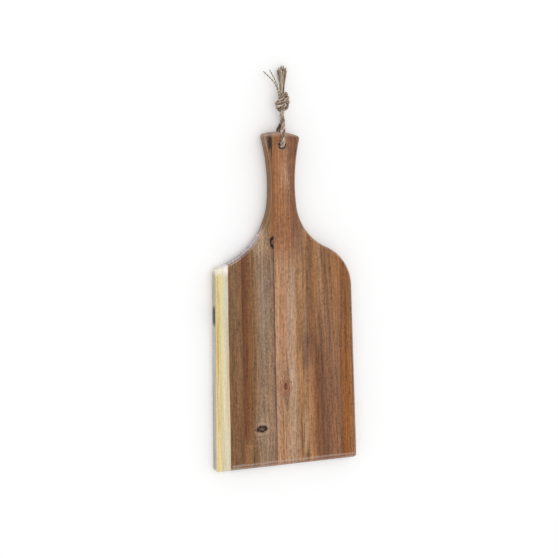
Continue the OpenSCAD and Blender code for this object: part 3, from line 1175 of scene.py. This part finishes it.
def rope_tree() -> Tree:
    """Make the tree that winds strands round a line, each of yarns wound the other way.

    Returns:
        The tree.
    """
    sizes = {"Spacing": 0.0008, "Strands": 3, "Strand Offset": 0.0016, "Lay": 0.021}
    sizes |= {"Yarns": 5, "Yarn Offset": 0.0009, "Yarn Lay": -0.011, "Yarn Radius": 0.0006}
    made = Tree("laid rope", sizes)
    line = made.add("GeometryNodeMeshToCurve", {0: made.given("Path")})
    points = {"Curve": line, "Length": made.given("Spacing")}
    line = made.add("GeometryNodeResampleCurve", points, mode="LENGTH")
    where = made.add("GeometryNodeInputPosition")
    noted = {"Geometry": line, "Name": "centre", "Value": where}
    line = made.add("GeometryNodeStoreNamedAttribute", noted, data_type="FLOAT_VECTOR", domain="POINT")
    strands, share = made.lay(line, "Strands", "Strand Offset", "Lay")
    noted = {"Geometry": strands, "Name": "strand", "Value": share}
    strands = made.add("GeometryNodeStoreNamedAttribute", noted, domain="CURVE")
    yarns = made.lay(strands, "Yarns", "Yarn Offset", "Yarn Lay")[0]
    centre = made.add("GeometryNodeInputNamedAttribute", {"Name": "centre"}, data_type="FLOAT_VECTOR")
    away = made.add("ShaderNodeVectorMath", {0: where, 1: centre}, operation="DISTANCE").outputs["Value"]
    inner = made.given("Strand Offset") - made.given("Yarn Offset")
    depth = (Flow(made.tree, away) - inner) / (made.given("Yarn Offset") * 2.0) * -1.0 + 1.0
    noted = {"Geometry": yarns, "Name": "depth", "Value": depth}
    yarns = made.add("GeometryNodeStoreNamedAttribute", noted, domain="POINT")
    yarns = made.add("GeometryNodeRemoveAttribute", {"Geometry": yarns, "Name": "centre"})
    made.end(yarns, sides=6, seed=4)
    return made


def fray_tree() -> Tree:
    """Make the tree of loose yarns that leave a line's start in a bundle and spread towards its end.

    Returns:
        The tree.
    """
    sizes = {"Yarns": 60, "Base Radius": 0.003, "Tip Radius": 0.006, "Wave": 0.0012}
    sizes |= {"Yarn Radius": 0.0004, "Shortest": 0.7, "Seed": 3}
    made = Tree("frayed yarns", sizes)
    line = made.add("GeometryNodeMeshToCurve", {0: made.given("Path")})
    line = made.add("GeometryNodeResampleCurve", {"Curve": line, "Count": 20}, mode="COUNT")
    noted = {"Geometry": line, "Name": "strand", "Value": made.add("GeometryNodeInputIndex")}
    line = made.add("GeometryNodeStoreNamedAttribute", noted, data_type="INT", domain="CURVE")
    bundle = made.add("GeometryNodeInputNamedAttribute", {"Name": "strand"}, data_type="INT").outputs[0]
    copied = {"Geometry": line, "Amount": made.given("Yarns")}
    copies = made.add("GeometryNodeDuplicateElements", copied, domain="SPLINE")
    number = Flow(made.tree, copies.outputs["Duplicate Index"]) + Flow(made.tree, bundle) * 100.0
    # Each yarn draws its direction, its place in the bundle, how short it is and where its waves start
    chance = []
    for k, most in enumerate((6.2832, 1.0, 1.0, 40.0)):
        # Inputs 2 and 3 are the least and the most that can be drawn
        drawn = {2: 0.0, 3: most, "ID": number, "Seed": made.given("Seed") + k * 7}
        node = made.add("FunctionNodeRandomValue", drawn, data_type="FLOAT")
        chance.append(Flow(made.tree, node.outputs[1]))
    angle, out, short, phase = chance
    place = Flow(made.tree, made.add("GeometryNodeSplineParameter").outputs["Factor"])
    kept = place * (short * (made.given("Shortest") * -1.0 + 1.0) * -1.0 + 1.0)
    drawn = {"Curves": line, "Factor": kept, "Curve Index": bundle}
    sampled = made.add("GeometryNodeSampleCurve", drawn, mode="FACTOR", data_type="FLOAT")
    opened = (made.given("Tip Radius") - made.given("Base Radius")) * kept.math("POWER", 1.4)
    far = out.math("SQRT") * (made.given("Base Radius") + opened)
    wave = made.given("Wave") * kept
    where = made.add("ShaderNodeCombineXYZ", {0: phase, 1: kept * 2.6, 2: phase * 0.37})
    bends = made.add("ShaderNodeTexNoise", {"Vector": where, "Scale": 1.0, "Detail": 1.0}).outputs["Color"]
    bend = [Flow(made.tree, s) - 0.5 for s in made.add("ShaderNodeSeparateXYZ", {0: bends}).outputs]
    across = angle.math("COSINE") * far + bend[0] * wave * 4.0
    over = angle.math("SINE") * far + bend[1] * wave * 4.0
    shape = {"Geometry": copies, "Position": sampled.outputs["Position"]}
    shape["Offset"] = made.aside(across, over)
    yarns = made.add("GeometryNodeSetPosition", shape)
    yarns = made.add("GeometryNodeRemoveAttribute", {"Geometry": yarns, "Name": "strand"})
    made.end(yarns, sides=5, seed=9)
    return made


@dataclass
class Rope:
    """The jute rope: a loop through the hole, a knot of its two strands, and its frayed ends.

    Its own frame is across, along from the hole, and up from the board's mid-thickness.
    """

    board: Board
    thick: float = 6.4
    gap: float = 0.6
    hole_gap: float = 0.4
    angle: float = 4.7
    loop: float = 44
    knot_long: float = 26.5
    knot_drop: float = 2
    bend_u: float = 14
    apart: float = 0.3
    lay: float = 21
    knot_rope: float = 5.4

    def __post_init__(self) -> None:
        """Work out how the board lies, on its lower end and on the rope under its handle."""
        board = self.board
        self.turn = -(board.hole_d / 2 - self.thick / 2 - self.hole_gap)
        touch = board.hole_y + (self.bend_u + self.turn) / 2 * math.cos(math.radians(self.angle))
        tilt = math.atan((self.gap + self.thick) / (touch - board.flat_from))
        self.rest = Rest(board.length, board.flat_from, tilt)
        hole = Matrix.Translation((0, board.hole_y, board.thick / 2))
        self.matrix = self.rest.matrix() @ hole @ Matrix.Rotation(math.radians(-self.angle), 4, "Z")

    def _placed(self, line: Sequence[Vector]) -> list[Vector]:
        """Put a line of the rope's own frame where it lies."""
        return [self.matrix @ p for p in line]

    def _half(self, side: int) -> list[Vector]:
        """The line of one strand, from the middle of the hole to inside the knot.

        Args:
            side: 1 for the strand above the board, -1 for the one below it.

        Returns:
            Its points, in metres.
        """
        strand = side * (self.board.thick / 2 + self.gap + self.thick / 2)
        meet = -self.knot_drop + side * (self.thick + self.apart) / 2
        bend, loop = self.bend_u, self.loop
        # Across and along: first on its own side of the board, then in to the knot
        if side > 0:
            out = [(-0.9, bend), (-1.8, loop - 20), (-2.6, loop - 10)]
            into = [(-0.8, loop - 7), (0, loop + 10)]
        else:
            out = [(-0.3, bend), (1.4, loop - 22), (5.6, loop - 15), (5.4, loop - 10.5)]
            into = [(1.8, loop - 6), (1.0, loop + 10)]
        route = [(0, self.turn, 0), (0, self.turn, strand)]
        route += [(x, y, strand) for x, y in out] + [(x, y, meet) for x, y in into]
        return self._placed(smooth_route(route, 10))

    def _knot_lines(self) -> list[list[Vector]]:
        """The lines of the two strands in their overhand knot, side by side all the way round.

        Returns:
            The points of each strand, in metres.
        """
        first = [
            (0.0, -14.0, 3.3), (0.0, -8.0, 2.2), (0.8, -2.0, -0.5), (2.8, 4.5, -3.2),
            (5.6, 8.8, -2.0), (4.0, 12.6, 3.8), (-2.2, 7.4, 6.6), (-6.6, 1.0, 5.8),
            (-9.0, -2.6, 0.0), (-4.0, -3.8, -5.5), (3.5, -3.6, -6.5), (8.4, -2.4, -3.4),
            (8.8, 0.6, 2.4), (3.6, 2.6, 3.4), (-2.0, 6.4, 2.0), (-3.0, 13.0, 0.0),
            (-3.2, 18.0, -1.0),
        ]
        second = [
            (1.0, -14.0, -3.3), (1.0, -8.0, -3.3), (2.2, -2.0, -3.5), (5.2, 3.0, -4.5),
            (8.4, 6.4, -0.5), (5.4, 4.8, 5.4), (0.4, 0.2, 7.6), (-5.2, -3.8, 5.8),
            (-8.0, -6.4, 0.4), (-4.2, -9.6, -3.6), (1.0, -12.0, -5.4), (6.2, -9.0, -3.0),
            (7.4, -5.0, 2.2), (3.4, -1.8, 3.4), (-0.5, 4.0, 0.0), (-1.0, 11.0, -2.0),
            (-1.5, 18.0, -2.0),
        ]
        middle = Vector((0, self.loop + self.knot_long / 2, -self.knot_drop))
        return [self._placed([p + middle for p in smooth_route(route, 8)]) for route in (first, second)]

    def _laid(self, thick: float, finish: Material) -> dict[str, Any]:
        """Inputs of the rope tree for a rope of a given thickness.

        Args:
            thick: the rope's diameter.
            finish: its material.

        Returns:
            The inputs by their names.
        """
        # Three strands of five yarns fill the rope's circle
        return {
            "Spacing": 0.8 * MM,
            "Strand Offset": 0.262 * thick * MM,
            "Lay": self.lay * thick / self.thick * MM,
            "Yarn Offset": 0.128 * thick * MM,
            "Yarn Lay": -1.7 * thick * MM,
            "Yarn Radius": 0.1 * thick * MM,
            "Finish": finish,
        }

    def _tuft_lines(self, top: float) -> list[list[Vector]]:
        """The lines of the frayed ends, which leave the knot together and open into a tuft.

        Args:
            top: where the knot ends, along the rope.

        Returns:
            The points of each bundle of yarns, in metres.
        """
        drop = self.knot_drop
        # How far each bundle's tip lies to the right, past the knot and up
        tips = [(-4.8, 30, -4), (-3.0, 33, 0), (-0.4, 30, 2), (1.0, 35.5, -3), (3.2, 34, 1), (5.4, 31, -3)]
        routes = [
            [
                (out * 0.3 - 1.4, top - 5, up * 0.3 - drop),
                (out * 0.4 - 1.4, top + 6, up * 0.4 - drop),
                (out * 0.7 - 1.4, top + long * 0.6, up * 0.8 - drop - 2),
                (out - 1.2, top + long, up - drop - 4),
            ]
            for out, long, up in tips
        ]
        return [self._placed(smooth_route(route, 5)) for route in routes]

    def build(self) -> None:
        """Build and dress the rope, and log the length of its two strands."""
        jute = JuteFinish("natural jute rope", "5b4838", "b39c85", "f0e2d0").material()
        loose = JuteFinish("frayed jute yarn", "6e5742", "ccb59e", "f6e8d8", spread=0.75).material()
        # Painted shade: the lower strand, which lies in the board's shade, gets a darker copy of the jute
        shaded = JuteFinish("jute rope in painted shade", "43352a", "735f4d", "a8957f").material()
        ropes = rope_tree()
        frays = fray_tree()
        top = self.loop + self.knot_long
        # Across, along and up
        strays = [
            [(-5.5, top - 9, 0), (-8.0, top, 1.5), (-12.8, top + 12, 0.5), (-28.5, top + 25.5, -4)],
            [(-4.8, top - 8, 2.5), (-7.6, top + 2, 3), (-12.4, top + 14, 1.5), (-20.5, top + 28, -2)],
        ]
        stray_lines = [self._placed(smooth_route(route, 8)) for route in strays]
        tuft = {"Yarns": 22, "Base Radius": 1.8 * MM, "Tip Radius": 2.8 * MM, "Wave": 1.0 * MM}
        tuft |= {"Yarn Radius": 0.33 * MM, "Shortest": 0.8, "Seed": 3, "Finish": loose}
        ply = {"Spacing": 0.5 * MM, "Strands": 2, "Strand Offset": 0.45 * MM, "Lay": 9.0 * MM, "Yarns": 3}
        ply |= {"Yarn Offset": 0.24 * MM, "Yarn Lay": -3.5 * MM, "Yarn Radius": 0.27 * MM, "Finish": loose}
        ends = [
            ("knotted_rope", "rope_knot", ropes, self._knot_lines(), self._laid(self.knot_rope, jute)),
            ("frayed_yarns", "frayed_ends", frays, self._tuft_lines(top), tuft),
            ("loose_yarns", "stray_yarns", ropes, stray_lines, ply),
        ]
        carried = [
            make_piece(tree.run(name, lines, values), values["Finish"], Body.ROPE, "jute", node)
            for name, node, tree, lines, values in ends
        ]
        for side, name, finish in ((1, "upper_strand", jute), (-1, "lower_strand", shaded)):
            line = self._half(side)
            mesh = ropes.run(name, [line], self._laid(self.thick, finish))
            strand = make_piece(mesh, finish, Body.ROPE, "jute", "rope_loop")
            mouth = self.matrix @ Vector((0, 0, side * self.board.thick / 2))
            line_length(line)
            [tuple(p) for p in line]
            log.info("%s: %.0f mm of rope", name, line_length(line) / MM)


@dataclass
class Studio:
    """White table, soft light from all round, and the camera high over the board's left side.

    The camera's sizes are in the board's frame; the table's and the lamp's are in metres.
    """

    rest: Rest
    aim: tuple[float, float, float] = (-8.0, 259.5, 16.0)
    toward: tuple[float, float, float] = (-0.333, 0.161, 0.929)
    distance: float = 2205.9
    roll: float = -0.018
    lens: float = 105.5
    reach: float = 6.0
    glow: float = 0.13
    sky: float = 0.8
    lamp_wide: float = 2.6
    lamp_power: float = 20.0
    lamp_at: tuple[float, float, float] = (-0.1, 0.3, 3.0)
    lamp_aim: tuple[float, float, float] = (0, 0.05, 0)

    def camera(self) -> None:
        """Set up the camera where the board is seen from."""
        back = Vector(self.toward).normalized()
        up = (Vector((0, 1, 0)) - back * back.y).normalized()
        right = up.cross(back)
        cos, sin = math.cos(self.roll), math.sin(self.roll)
        axes = (right * cos + up * sin, up * cos - right * sin, back)
        turn = self.rest.matrix().to_3x3().normalized()
        pose = Matrix([turn @ axis for axis in axes]).transposed().to_4x4()
        pose.translation = self.rest.place(Vector(self.aim) + back * self.distance)
        data = bpy.data.cameras.new("camera")
        data.lens = self.lens
        data.sensor_fit = "HORIZONTAL"
        data.clip_end = 20.0
        camera = put("camera", data)
        camera.matrix_world = pose
        bpy.context.scene.camera = camera

    def floor(self) -> None:
        """Lay the white table top, which the camera sees as white wherever no shadow falls."""
        mesh = bpy.data.meshes.new("table_top")
        corners = [(x * self.reach, y * self.reach, 0) for x, y in ((-1, -1), (1, -1), (1, 1), (-1, 1))]
        mesh.from_pydata(corners, [], [(0, 1, 2, 3)])
        made, tree = new_material("white table")
        paint = add(tree, "ShaderNodeBsdfDiffuse", {"Color": linear("f4f4f4")})
        ray = add(tree, "ShaderNodeLightPath")
        seen = Flow(tree, ray.outputs["Is Camera Ray"]) + ray.outputs["Is Glossy Ray"]
        seen = (seen + ray.outputs["Is Transmission Ray"]).math("MINIMUM", 1.0)
        glow = add(tree, "ShaderNodeEmission", {"Color": linear("ffffff"), "Strength": seen * self.glow})
        both = add(tree, "ShaderNodeAddShader", {0: paint, 1: glow})
        add(tree, "ShaderNodeOutputMaterial", {"Surface": both})
        mesh.materials.append(made)
        put("table_top", mesh)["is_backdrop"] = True

    def light(self) -> None:
        """Light the board from all round, with one broad soft lamp overhead."""
        scene = bpy.context.scene
        world = bpy.data.worlds.new("studio")
        world.use_nodes = True
        sky = world.node_tree.nodes["Background"].inputs
        sky["Color"].default_value = linear("ffffff")
        sky["Strength"].default_value = self.sky
        scene.world = world
        data = bpy.data.lights.new("overhead", "AREA")
        data.shape = "RECTANGLE"
        data.size = self.lamp_wide
        data.size_y = self.lamp_wide
        data.energy = self.lamp_power
        lamp = put("overhead", data)
        lamp.location = self.lamp_at
        lamp.rotation_euler = (Vector(self.lamp_aim) - lamp.location).to_track_quat("-Z", "Y").to_euler()
        scene.view_settings.view_transform = "Standard"


# The satin skin catches the light where the lower end and the handle's end start to round over
LOWER_LINE = Accent((-120, 120), (5.0, 7.0), "c4ada1", 0.5, soft_y=1.5, over_grain=True)
TOP_EDGE = Accent((-40, 40), (452, 480), "c9afa0", 0.4, soft_y=2.5, over_grain=True)
# The round-over of the lower end is painted darker and redder: painted shade where it turns from the light,
# over its redder end grain
LOWER_EDGE = Accent((-120, 120), (-9.0, 4.6), "7d4a32", 0.35, soft_y=0.8)

WOODS: dict[str, WoodFinish] = {
    "sapwood_stave": WoodFinish(
        "oiled acacia with sapwood edge",
        lower=[
            (-103, "d9be7e"), (-95, "e1d29f"), (-86, "d6cbb0"), (-82.4, "d4c6aa"), (-81.3, "7a5537"),
            (-70, "886240"), (-61.6, "795233"),
        ],
        upper=[
            (-103, "d4b464"), (-99, "d8bd6c"), (-95, "dccb86"), (-85, "d5cbb1"), (-81.4, "d6cab0"),
            (-80.4, "765437"), (-70, "896543"), (-64.5, "856140"), (-61.6, "7b5434"),
        ],
        blend=(90, 230),
        lean=0.25,
        seed=2.0,
        drift=1.2,
        sap_edge=-81.0,
        # Near-white painted highlight on the eased edges
        rim_highlight_colour="f0e8d8",
        veins=0.12,
        accents=(
            Accent((-104, -95), (60, 264), "c98f26", 0.8, soft_x=1.3, soft_y=20.0, streak=1.5),
            # Painted shade and reflection: the left side face, turned from the light and mirroring the white
            # room, is painted grey-lavender, paler in one patch
            Accent((-110, -70), (-9, 400), "a7abb2", 0.85, soft_x=0.5, soft_y=3.0, on_side=True),
            Accent((-110, -98), (150, 215), "b3bfbf", 0.6, soft_x=0.5, soft_y=9.0, on_side=True),
            Accent((-110, -98), (202, 226), "33465a", 0.95, soft_x=0.5, soft_y=5.0, on_side=True),
            Accent((-110, -98), (268, 274), "7a5638", 0.9, soft_x=0.5, soft_y=1.5, on_side=True),
            # Painted reflection: the side face of the left shoulder's hollow is painted pale lilac grey
            Accent((-80, -50), (255, 400), "d6ccd2", 0.9, soft_y=4.0, on_side=True),
            # Painted highlight: the top of the sapwood is painted near white, where its round-over catches
            # the light
            Accent((-99, -80), (273, 330), "f5f1ea", 0.9, soft_x=0.8, soft_y=7.0),
            Accent((-79, -58), (-30, 330), "5a3a23", 0.35, soft_x=0.6, streak=1.0),
            # Painted highlight where the lower end starts to round over
            Accent((-80, -58), (4.6, 7.4), "c4ada1", 0.5, soft_x=0.6, soft_y=1.5, over_grain=True),
        ),
    ),
    "knot_stave": WoodFinish(
        "oiled acacia heartwood with knots",
        lower=[
            (-61.4, "65391e"), (-47, "7f5735"), (-34, "977a5f"), (-22, "91745c"), (-17, "856850"),
            (-14.6, "6d503a"),
        ],
        upper=[(-61.4, "856545"), (-32, "937553"), (-25, "8d6f50"), (-17.5, "93673d"), (-14.6, "8e562b")],
        blend=(275, 345),
        lean=-0.45,
        seed=13.0,
        figure=0.3,
        # Stronger painted highlight on the eased edges
        rim_highlight=0.5,
        knots=(
            Knot(-36.4, 54.3, 6.9, 4.1, "6d4d38", "28170f", "a68869", 12.0, 5.0),
            Knot(-15.6, 310.0, 4.4, 7.2, "6a4a36", "120806", "7a593f", 9.0, 4.0),
        ),
        accents=(
            LOWER_EDGE,
            LOWER_LINE,
            Accent((-19.5, -13.0), (434, 470), "2c1917", 0.95, soft_x=1.1, soft_y=6.0),
            Accent((-17, -13), (420, 442), "33201a", 0.8, soft_x=0.8, soft_y=7.0),
            Accent((-17.2, -13.0), (356, 416), "9a5a30", 0.6, soft_x=1.0, soft_y=9.0),
            Accent((-15.9, -13.0), (205, 300), "4a3020", 0.5, soft_x=0.7),
            Accent((-46, -22), (296, 326), "c9a98a", 0.3, soft_x=4.0, soft_y=9.0),
            Accent((-63, -50), (2, 42), "b58a60", 0.32, soft_y=12.0),
            # Painted reflection: the side face of the left shoulder's hollow is painted pale lilac grey
            Accent((-70, -25), (240, 326), "c6bcc4", 0.85, soft_x=4.0, on_side=True),
            Accent((-30, -13), (332, 426), "7a5530", 0.55, soft_x=0.6, soft_y=10.0, over_grain=True),
            TOP_EDGE,
        ),
    ),
    "handle_stave": WoodFinish(
        "oiled acacia, pink heartwood",
        lower=[
            (-14.4, "b08562"), (-11, "b88d6c"), (-5, "b0815f"), (9, "ae8c6f"), (23, "a3764f"),
            (29, "9c7352"), (32.4, "8a654d"),
        ],
        upper=[
            (-14.4, "96603b"), (-11, "9b6845"), (0, "a67046"), (5, "ac7b56"), (13, "7f5238"),
            (20, "855e47"), (32.4, "946b4e"),
        ],
        blend=(255, 330),
        lean=0.5,
        seed=29.0,
        grain=1.7,
        figure=0.75,
        # The second one paints the wall and mouth of the rope hole near black: painted shade inside the hole,
        # over end grain that oil darkens a little
        knots=(
            Knot(-0.7, 109.6, 2.4, 4.2, "83492f", "5a2a1b", "9d634a", 11.5, 6.0, strength=0.85),
            Knot(0.0, 439.5, 4.7, 4.7, "120c08", "160e09", "160e09", 4.0, 0.0),
        ),
        accents=(
            LOWER_EDGE,
            LOWER_LINE,
            Accent((8, 12), (104, 140), "d9c0a8", 0.36, soft_x=3.0, soft_y=12.0),
            Accent((20.0, 26.5), (8, 92), "43291b", 0.7, soft_x=1.6, streak=1.1),
            Accent((30.4, 33.0), (4, 34), "3c2418", 0.6, soft_x=0.8, soft_y=6.0, streak=1.0),
            Accent((19, 36), (138, 196), "694738", 0.6, soft_x=3.0, soft_y=20.0, streak=4.0),
            Accent((27, 36), (136, 180), "65422f", 0.5, soft_x=2.5),
            TOP_EDGE,
            Accent((7.5, 40.0), (364, 470), "77503d", 0.42, soft_x=1.4),
            Accent((-3, 10), (380, 414), "d6aa86", 0.4, soft_x=3.0, soft_y=12.0),
            Accent((-14, 28), (290, 480), "6b3f26", 0.25, soft_x=1.0, streak=1.1),
            Accent((-15, -6), (342, 372), "5e3620", 0.2, soft_y=8.0),
            Accent((1.5, 8.5), (292, 350), "6b3f26", 0.3, soft_x=1.5, soft_y=12.0),
            Accent((25, 40), (306, 330), "c9955f", 0.25, soft_x=3.0, soft_y=8.0),
            Accent((26, 34), (16, 72), "cfa884", 0.3, soft_y=10.0),
        ),
    ),
    "right_stave": WoodFinish(
        "oiled acacia, brown heartwood",
        lower=[(32.6, "a6764f"), (42, "7d4f2f"), (50, "774b2f"), (64, "8d6144"), (79.4, "825b3f")],
        upper=[
            (32.6, "996b46"), (36.5, "7d5233"), (57, "9a714d"), (64, "825938"), (71, "946841"),
            (79.4, "92643f"),
        ],
        blend=(110, 260),
        lean=-0.3,
        seed=41.0,
        slant=0.04,
        bands=1.5,
        accents=(
            LOWER_EDGE,
            LOWER_LINE,
            Accent((30, 40), (138, 184), "643f2d", 0.5, soft_x=2.5),
        ),
    ),
    "outer_stave": WoodFinish(
        "oiled acacia, orange heartwood",
        lower=[(79.6, "7e4f2e"), (84, "8f592b"), (90, "935a28"), (103, "8f6a4f")],
        upper=[(79.6, "825431"), (90, "8a5931"), (103, "957058")],
        blend=(110, 240),
        lean=0.4,
        seed=53.0,
        # Stronger painted highlight on the eased edges
        rim_highlight=0.55,
        accents=(LOWER_EDGE, LOWER_LINE),
    ),
}


def main() -> None:
    """Build the board, its rope and the studio, and work out the bounds of both models."""
    logging.basicConfig(level=logging.INFO, format="%(name)s: %(message)s")
    board = Board()
    rope = Rope(board)
    board.build(rope.rest)
    rope.build()
    studio = Studio(rope.rest)
    studio.camera()
    studio.floor()
    studio.light()
    boxes = {"cad": CAD_BOX, "visual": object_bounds()}
    {name: [[float(v) for v in corner] for corner in box] for name, box in boxes.items()}


if __name__ == "__main__":
    main()
